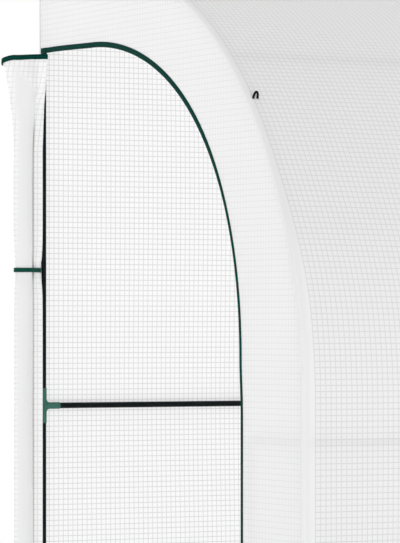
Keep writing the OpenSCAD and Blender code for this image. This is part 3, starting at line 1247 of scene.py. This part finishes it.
@dataclass(frozen=True)
class PaintedShadeStrip:
    """Smooth strip along the door film without the thread grid, painted greyer as the shade on the front of
    the roll, which ends in a slanting edge below the binding.
    """

    # Edge towards the hinge, and how far it moves between two heights
    near: float = 50 * MM
    near_shift: float = 13 * MM
    near_heights: tuple[float, float] = (1620 * MM, 1700 * MM)
    near_fade: float = 8 * MM
    # Edge towards the zip
    far: float = 119 * MM
    far_shift: float = 23 * MM
    far_heights: tuple[float, float] = (1660 * MM, 1876 * MM)
    far_fade: float = 9 * MM
    # A point of the slanting edge where the painted shade ends, its slope and its softness
    shade_edge_q: float = 83 * MM
    shade_edge_z: float = 1834 * MM
    shade_edge_slope: float = 0.98
    shade_edge_fade: float = 6 * MM

    def share(self, q: np.ndarray, z: np.ndarray) -> np.ndarray:
        """Share of the strip at places on the film.

        Args:
            q: Distances from the hinge.
            z: Heights.

        Returns:
            Share for each place, 1 on the strip with its painted shade.
        """
        near = self.near + self.near_shift * smooth(z, *self.near_heights)
        far = self.far + self.far_shift * smooth(z, *self.far_heights)
        # Height of the slanting edge where the painted shade ends
        cut = self.shade_edge_z + self.shade_edge_slope * (q - self.shade_edge_q)
        past_near = smooth(q - near, 0, self.near_fade)
        past_far = smooth(q - far, -self.far_fade, self.far_fade)
        past_shade_edge = smooth(z - cut, -self.shade_edge_fade, self.shade_edge_fade)
        return past_near * (1 - past_far) * (1 - past_shade_edge)


@dataclass(frozen=True)
class CreaseShadow:
    """Painted shadow along the crease where the door film runs in behind the roll, fading out below the
    binding.
    """

    q: float = 43 * MM
    flare_shift: float = 57 * MM
    pull_shift: float = 7 * MM
    softness: float = 3.2 * MM
    hidden: float = 6 * MM
    fade: tuple[float, float] = (1670 * MM, 1840 * MM)

    def share(self, q: np.ndarray, z: np.ndarray, flare: np.ndarray, pull: np.ndarray) -> np.ndarray:
        """Share of the painted crease shadow at places on the film.

        Args:
            q: Distances from the hinge.
            z: Heights.
            flare: Shares of the opened-out top at these heights.
            pull: Shares of the strap's pull at these heights.

        Returns:
            Share of the painted shadow for each place, 1 in the crease.
        """
        crease = self.q + self.flare_shift * flare - self.pull_shift * pull
        before = np.exp(-((np.clip(crease - q, 0, None) / self.softness) ** 2))
        return before * (q < crease + self.hidden) * (1 - smooth(z, *self.fade))


@dataclass
class DoorFlap:
    """Zipped door film, opened and rolled up beside the back post."""

    house: House
    film: bpy.types.Material
    shape: RollShape = RollShape()
    strip: PaintedShadeStrip = PaintedShadeStrip()
    crease: CreaseShadow = CreaseShadow()
    hem_z: float = 6 * MM
    # Rise of the top edge beside the hinge, its droop inside the roll, and where they fade
    lift: float = 3.9 * MM
    lift_fade: tuple[float, float] = (80 * MM, 150 * MM)
    droop: float = 20 * MM
    droop_fade: tuple[float, float] = (150 * MM, 225 * MM)
    # Columns of the mesh, closest near the hinge
    column_marks: tuple[float, float] = (60 * MM, 420 * MM)
    column_counts: tuple[int, int, int] = (36, 100, 130)
    # Rows of the mesh, closer towards the top, with more of them under the strap
    rows: int = 110
    row_power: float = 1.25
    strap_rows: int = 25
    strap_reach: float = 0.03
    level_count: int = 400

    @property
    def width(self) -> float:
        """Width of the door film from its hinge to its zip."""
        return self.house.hinge - self.house.door_edge

    def flare(self, z: np.ndarray | float) -> np.ndarray:
        """Share of the opened-out top at a height, from 0 on the roll to 1 at the binding."""
        start = self.shape.flare_start
        rise = (np.asarray(z) - start) / (self.house.flap_top - start)
        return np.clip(rise, 0, 1) ** self.shape.flare_power

    def top(self, q: np.ndarray) -> np.ndarray:
        """Height of the film's top edge, which follows the curve of the doorway.

        Args:
            q: Distances from the hinge.

        Returns:
            Height at each distance.
        """
        h = self.house
        past = np.clip(q - (h.hinge - h.door_centre[0]), 0, h.door_radius)
        drop = h.door_radius - np.sqrt(h.door_radius**2 - past**2)
        lift = self.lift * (1 - smooth(q, *self.lift_fade))
        return h.flap_top + lift - drop - self.droop * smooth(q, *self.droop_fade)

    def plan(self, z: float) -> np.ndarray:
        """Draws the film's line in plan at one height.

        Args:
            z: The height.

        Returns:
            One row of t and s per point, from the hinge seam to the core of the roll.
        """
        r = self.shape
        flare, pull = float(self.flare(z)), float(self.house.pull(z))
        seam = np.array([r.seam_out, float(self.house.hinge_line(z)) + r.seam_past_hinge])
        spread = r.fold_spread * flare**r.fold_spread_power
        spread += r.fold_step * float(smooth(flare, *r.fold_step_flare))
        fold = np.array([r.fold_out * (1 + flare), r.fold_s - spread + r.fold_pull * pull])
        out = r.out + r.mouth_lean * flare + r.sway * math.sin(r.sway_rate * z)
        centre = np.array([out - r.pinch * pull / 2, r.s])
        wide = lerp(r.radius, r.mouth_radius, flare) - r.pinch * pull
        deep = lerp(r.depth, r.mouth_depth, flare) - r.pinch * pull
        angle = np.linspace(0, 2 * math.pi * r.turns, r.turns * r.turn_points)
        angle = angle + lerp(*r.meets, flare)
        done = np.linspace(0, 1, len(angle))
        shrink = 1 - done * (1 - r.core_radius / r.radius)
        waves = np.sin(r.wrinkle_rates[0] * angle + r.wrinkle_rates[1] * z)
        size = shrink * (1 + r.wrinkle * waves * (1 - done))
        ring = oval(angle, wide, deep, r.turn * (1 - flare), lerp(r.squareness, 2, flare))
        roll = centre + ring * size[:, None]
        lead = np.linspace(0, 1, r.lead_points)[1:-1, None]
        return np.vstack([seam, fold, lerp(fold, roll[0], lead), roll])

    def cloth(self) -> tuple[np.ndarray, np.ndarray, np.ndarray]:
        """Rolls up the door film.

        Returns:
            Distance from the hinge of each column, and t and s with heights for each vertex.
        """
        h = self.house
        marks = (0, *self.column_marks, self.width)
        spans = zip(marks, marks[1:], self.column_counts)
        q = np.unique(np.concatenate([np.linspace(a, b, n) for a, b, n in spans]))
        levels = np.linspace(self.hem_z, h.flap_top, self.level_count)
        table = np.stack([points_at(self.plan(level), q) for level in levels])
        tied = (h.strap_z - self.hem_z) / (h.flap_top - self.hem_z)
        share = np.sort(np.concatenate([
            1 - (1 - np.linspace(0, 1, self.rows)) ** self.row_power,
            np.linspace(tied - self.strap_reach, tied + self.strap_reach, self.strap_rows),
        ]))
        z = self.hem_z + share[:, None] * (self.top(q)[None, :] - self.hem_z)
        place = np.stack([
            np.stack([np.interp(z[:, c], levels, table[:, c, axis]) for c in range(len(q))], axis=1)
            for axis in range(2)
        ], axis=-1)
        return q, place, z

    def build(self) -> list[np.ndarray]:
        """Makes the flaps of both ends.

        Returns:
            Points of the top edge of each flap, from the hinge to the zip.
        """
        q, place, z = self.cloth()
        # Share of the strip: no thread grid, and a greyer colour painted as the roll's shade
        plain = self.strip.share(q[None, :], z)
        # Painted shadow along the crease where the film runs in behind the roll
        fold = self.crease.share(q[None, :], z, self.flare(z), self.house.pull(z))
        uv = np.stack([np.broadcast_to(q, z.shape), z], axis=-1).reshape(-1, 2)
        edges = []
        for end in End:
            points = self.house.on_end(end, place[..., 0], place[..., 1], z)
            piece = mesh_object(
                f"{end.label}_door_film",
                points.reshape(-1, 3),
                grid_faces(len(z), len(q), end is End.LEFT),
                uv,
                plain.ravel(),
                fold.ravel(),
            )
            dress(piece, self.film, Slot.FILM, f"{end.label}_door_flap")
            edges.append(points[-1])
        return edges


@dataclass
class FlapBinding:
    """Green binding over the top edge of each rolled flap, with its half of the zip."""

    house: House
    tape: bpy.types.Material
    coil: bpy.types.Material
    thickness: float = 3.4 * MM
    corner: float = 1.6 * MM
    overlap: float = 2 * MM
    zip_out: float = 1.2 * MM
    # Points of the tape and of the zip, a step apart, and points of the edge that hold the fold
    step: float = 4 * MM
    tape_points: int = 71
    zip_points: int = 35
    fold_points: int = 50
    turns: BeadSizes = BeadSizes(pitch=3.2 * MM, length=2.2 * MM, width=4.4 * MM, height=4.4 * MM)

    def line(
        self, edge: np.ndarray, at_seam: bool = False
    ) -> tuple[np.ndarray, np.ndarray, np.ndarray]:
        """Draws the middle line of the binding, from the fold beside the post round the first turns.

        Args:
            edge: Points of the film's top edge, from the hinge to the zip.
            at_seam: Takes the short stretch from the seam to the fold instead.

        Returns:
            Points of the middle line, and its upward and outward directions.
        """
        fold = int(np.argmin(edge[: self.fold_points, 1]))
        stretch = edge[: fold + 1] if at_seam else edge[fold:]
        line = resampled(stretch, self.step)[: self.tape_points]
        ahead = headings(line)
        line[0] -= ahead[0] * self.overlap
        up = np.array([0.0, 0.0, 1.0]) - ahead * ahead[:, 2:]
        up /= np.linalg.norm(up, axis=1)[:, None]
        return line - up * self.house.binding_width / 2, up, np.cross(ahead, up)

    def build(self, edges: Sequence[np.ndarray]) -> None:
        """Makes the bindings of both flaps as one piece, and the zips along their outside.

        Args:
            edges: Points of the top edge of each flap, from the hinge to the zip.
        """
        section = rounded_section(self.house.binding_width, self.thickness, self.corner)
        tapes, zips = [], []
        for edge in edges:
            tapes += [sweep(*self.line(edge, at_seam), section) for at_seam in (False, True)]
            line, _, out = self.line(edge)
            zips.append((line - out * self.zip_out)[: self.zip_points])
        piece = mesh_object("flap_binding_tapes", *joined(tapes))
        dress(piece, self.tape, Slot.BINDING, "flap_bindings")
        add_beads("flap_zip_coils", zips, self.turns, self.coil, Slot.BINDING)


@dataclass
class TieStrap:
    """Woven strap that ties each roll to its hinge."""

    house: House
    roll: RollShape
    webbing: bpy.types.Material
    width: float = 12 * MM
    thickness: float = 1.6 * MM
    corner: float = 0.75 * MM
    off_roll: float = 1.2 * MM
    anchor_out: float = 1.2 * MM
    anchor_past_hinge: float = 6 * MM
    anchor_gap: float = 3 * MM
    loop_points: int = 120
    step: float = 4 * MM

    def strap(self, end: End) -> Part:
        """Draws the strap tight round the roll, from the hinge and back to it.

        Args:
            end: The end that the strap is on.

        Returns:
            The strap.
        """
        h, r = self.house, self.roll
        anchor = np.array([self.anchor_out, h.hinge + self.anchor_past_hinge])
        centre = np.array([r.out - r.pinch / 2, r.s])
        aim = centre - anchor
        behind = math.atan2(aim[1], aim[0]) + math.pi
        turn = np.linspace(0, 2 * math.pi, self.loop_points, endpoint=False) + behind
        wide, deep = (size - r.pinch + self.off_roll for size in (r.radius, r.depth))
        loop = centre + oval(turn, wide, deep, r.turn, r.squareness)
        reach = loop - anchor
        side = np.arctan2(aim[0] * reach[:, 1] - aim[1] * reach[:, 0], reach @ aim)
        arc = loop[int(np.argmin(side)) : int(np.argmax(side)) + 1]
        line = resampled(np.vstack([anchor, arc, anchor + [0, self.anchor_gap]]), self.step)
        ahead = headings(line)
        points = h.on_end(end, line[:, 0], line[:, 1], np.full(len(line), h.strap_z))
        up = np.tile([0.0, 0.0, 1.0], (len(line), 1))
        out = np.stack([end.value * ahead[:, 1], -ahead[:, 0], np.zeros(len(line))], axis=1)
        return sweep(points, up, out, rounded_section(self.width, self.thickness, self.corner))

    def build(self) -> None:
        """Makes the straps of both ends as one piece."""
        piece = mesh_object("tie_straps", *joined([self.strap(end) for end in End]))
        dress(piece, self.webbing, Slot.STRAP, "flap_straps")


@dataclass
class CordLoops:
    """Braided loops sewn to the roof over both ends, for guy lines."""

    house: House
    braid: bpy.types.Material
    cord: float = 6 * MM
    width: float = 12 * MM
    height: float = 17.5 * MM
    # How far the loop lies down the roof and outwards from the place of its solid
    slip: float = 12 * MM
    shift: float = 3 * MM
    # Powers that shape the bow, and how far its top leans to the front and to the middle
    bow_power: float = 1.1
    rise_power: float = 0.8
    lean: float = 0.1
    side_lean: float = 0.16
    bow_points: int = 60
    step: float = 1.5 * MM
    # Cord's width over its corner radius, just over 2 for a round one, and points of a corner
    corner_share: float = 2.01
    corner_points: int = 5

    def build(self) -> None:
        """Makes the two loops as one piece."""
        h = self.house
        x, y, base = h.loop_base
        angle = math.asin((base - h.eave_z) / h.roof_radius)
        y, base = y - self.slip * math.sin(angle), base - self.slip * math.cos(angle)
        corner = self.cord / self.corner_share
        section = rounded_section(self.cord, self.cord, corner, self.corner_points)
        half = self.width / 2
        turn = np.linspace(math.pi, 0, self.bow_points)
        bow = half * np.sign(np.cos(turn)) * np.abs(np.cos(turn)) ** self.bow_power
        rise = self.height * np.sin(turn) ** self.rise_power
        bow, rise = resampled(np.stack([bow, rise], axis=1), self.step).T
        parts = []
        for end in End:
            middle = end.value * (abs(x) - half - self.cord / 2 + self.shift)
            side = middle + bow - end.value * self.side_lean * rise
            path = np.stack([side, y - self.lean * rise, base + rise], axis=1)
            out = np.tile([0.0, -1.0, 0.0], (len(path), 1))
            parts.append(sweep(path, np.cross(headings(path), out), out, section))
        piece = mesh_object("guy_cord_loops", *joined(parts))
        dress(piece, self.braid, Slot.CORD, "guy_loops")


# Frame

JOINT_NAMES = tuple(
    f"{place}_joints"
    for place in ("front_base", "back_base", "front_mid", "back_mid", "purlin", "back_top", "jamb")
)
TUBE_NAMES = (
    *(f"{kind}_{i}" for kind in ("front_post", "back_post", "arch") for i in range(1, 5)),
    *(f"{place}_rail" for place in ("front_base", "back_base", "front_mid", "back_mid", "back_top")),
    *(f"{end.label}_jamb_frame" for end in End),
    "roof_bars",
    "roof_purlin",
)


@dataclass
class TubeFrame:
    """Steel tubes and moulded joints, which keep their CAD shapes."""

    nodes: dict
    coat: bpy.types.Material
    plastic: bpy.types.Material

    def build(self) -> None:
        """Gives every tube and joint its finish."""
        for names, material in ((TUBE_NAMES, self.coat), (JOINT_NAMES, self.plastic)):
            for name in names:
                mesh = self.nodes[name].data
                mesh.materials.clear()
                mesh.materials.append(material)
            LOG.info("%d nodes in %s", len(names), material.name)


# Studio


@dataclass(frozen=True)
class Lamp:
    """A soft, distant lamp."""

    name: str
    strength: float
    shines_from: tuple[float, float, float]
    spread: float = math.radians(50)


@dataclass
class Studio:
    """Camera, soft lamps, white surroundings and floor."""

    house: House
    # Camera: place from the near corner at the ground, level direction, and lens in pixels
    camera_place: tuple[float, float, float] = (-4.262, -7.568, 1.174)
    camera_aim: tuple[float, float] = (0.4653, 0.8851)
    focal_pixels: float = 3575.0
    horizon_row: float = 326.0
    sensor: float = 36.0
    view_reach: float = 300.0
    lamps: tuple[Lamp, ...] = (
        Lamp("key", 0.10, (-0.74, -0.65, 0.10)),
        Lamp("fill", 0.12, (0.25, -0.95, -0.25)),
        Lamp("rim", 1.10, (-0.40, 0.92, 0.05)),
        Lamp("bounce", 1.02, (-0.15, -0.72, -0.66)),
    )
    # Lamp inside: its power, its size in shares of length and height, and its place in shares of
    # depth before the middle and of height
    inside_strength: float = 0.2
    inside_size: tuple[float, float] = (0.9, 0.7)
    inside_place: tuple[float, float] = (0.05, 0.56)
    ambient: float = 0.76
    floor_rings: tuple[float, ...] = (2.0, 4.0, 6.0, 9.0)
    floor_spokes: int = 64
    floor_fade: tuple[float, float] = (3.2, 8.0)
    floor_colour: str = "#F7F7F7"

    def add_camera(self) -> None:
        """Sets the camera at the viewing angle, level, with the horizon on its row."""
        data = bpy.data.cameras.new("camera")
        camera = placed("camera", data)
        corner = Vector((-self.house.half_length, -self.house.depth / 2, 0.0))
        turn = Vector((*self.camera_aim, 0.0)).to_track_quat("-Z", "Y").to_matrix().to_4x4()
        camera.matrix_world = Matrix.Translation(corner + Vector(self.camera_place)) @ turn
        data.sensor_width = self.sensor
        data.lens = self.focal_pixels * self.sensor / IMAGE_HEIGHT
        data.shift_y = (self.horizon_row - IMAGE_HEIGHT / 2) / IMAGE_HEIGHT
        data.clip_end = self.view_reach
        bpy.context.scene.camera = camera

    def add_lamps(self) -> None:
        """Adds the soft lamps round the greenhouse, and a weak one inside that lights the back."""
        for lamp in self.lamps:
            data = bpy.data.lights.new(lamp.name, "SUN")
            data.energy = lamp.strength
            data.angle = lamp.spread
            light = placed(lamp.name, data)
            light.rotation_mode = "QUATERNION"
            light.rotation_quaternion = Vector(lamp.shines_from).to_track_quat("Z", "Y")
        h = self.house
        data = bpy.data.lights.new("inside", "AREA")
        data.energy = self.inside_strength
        data.shape = "RECTANGLE"
        data.size = 2 * h.half_length * self.inside_size[0]
        data.size_y = h.height * self.inside_size[1]
        inside = placed("inside", data)
        place = (0, -h.depth * self.inside_place[0], h.height * self.inside_place[1])
        turn = Vector((0, 1, 0)).to_track_quat("-Z", "Y").to_matrix().to_4x4()
        inside.matrix_world = Matrix.Translation(place) @ turn
        inside.visible_camera = False
        inside.visible_glossy = False

    def add_surroundings(self) -> None:
        """Adds pale surroundings that light the scene and show white in the picture."""
        world = bpy.data.worlds.new("white_studio")
        bpy.context.scene.world = world
        world.use_nodes = True
        tree = world.node_tree
        tree.nodes.clear()
        path = add_node(tree, "ShaderNodeLightPath").outputs
        seen = path["Is Camera Ray"]
        for ray in ("Is Glossy Ray", "Is Transmission Ray"):
            seen = add_node(tree, "ShaderNodeMath", {0: seen, 1: path[ray]}, operation="MAXIMUM").outputs[0]
        level = add_node(
            tree, "ShaderNodeMapRange", {"Value": seen, "To Min": self.ambient, "To Max": 1.0}
        ).outputs[0]
        sky = add_node(tree, "ShaderNodeBackground", {"Color": (1, 1, 1, 1), "Strength": level})
        add_node(tree, "ShaderNodeOutputWorld", {"Surface": sky.outputs[0]})

    def add_floor(self) -> None:
        """Adds a round floor of matt white board that fades to white away from the greenhouse."""
        spokes = self.floor_spokes
        turn = np.linspace(0, 2 * math.pi, spokes, endpoint=False)
        circle = np.stack([np.cos(turn), np.sin(turn), np.zeros(spokes)], axis=1)
        points = np.vstack([radius * circle for radius in self.floor_rings])
        faces = grid_faces(len(self.floor_rings), spokes, True, wrap=True)
        floor = mesh_object("studio_floor", points, faces + [list(range(spokes))])
        material, tree = new_material("matt_white_board")
        place = add_node(tree, "ShaderNodeTexCoord").outputs["Object"]
        far = add_node(tree, "ShaderNodeVectorMath", {0: place}, operation="LENGTH").outputs["Value"]
        near_edge, far_edge = self.floor_fade
        fade = add_node(
            tree, "ShaderNodeMapRange", {"Value": far, "From Min": near_edge, "From Max": far_edge}
        ).outputs[0]
        seen = add_node(tree, "ShaderNodeLightPath").outputs["Is Camera Ray"]
        share = add_node(tree, "ShaderNodeMath", {0: fade, 1: seen}, operation="MULTIPLY").outputs[0]
        board = add_node(tree, "ShaderNodeBsdfDiffuse", {"Color": linear(self.floor_colour)}).outputs[0]
        glow = add_node(tree, "ShaderNodeEmission", {"Strength": 1.0}).outputs[0]
        mix = add_node(tree, "ShaderNodeMixShader", {"Fac": share, 1: board, 2: glow}).outputs[0]
        add_node(tree, "ShaderNodeOutputMaterial", {"Surface": mix})
        floor.data.materials.append(material)
        floor.visible_shadow = False


def main() -> None:
    """Builds the greenhouse's looks around its frame."""
    logging.basicConfig(level=logging.INFO, format="%(name)s: %(message)s")
    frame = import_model()
    bpy.context.scene.view_settings.view_transform = "Standard"
    house = House.from_frame()
    studio = Studio(house)
    studio.add_camera()
    tape = BINDING_TAPE.material()
    coil = ZIP_COIL.material()
    cover = Cover(house, COVER_FILM.material(), END_FILM.material(), BACK_FILM.material())
    cover.build()
    SeamStitches(cover, SEWING_THREAD.material()).build()
    DoorBinding(house, tape, coil, GREEN_THREAD.material()).build()
    flap = DoorFlap(house, DOOR_FILM.material())
    edges = flap.build()
    FlapBinding(house, tape, coil).build(edges)
    TieStrap(house, flap.shape, WEBBING.material()).build()
    CordLoops(house, BRAID.material()).build()
    TubeFrame(frame["nodes"], POWDER_COAT.material(), MOULDED_PP.material()).build()
    studio.add_lamps()
    studio.add_surroundings()
    studio.add_floor()


if __name__ == "__main__":
    main()
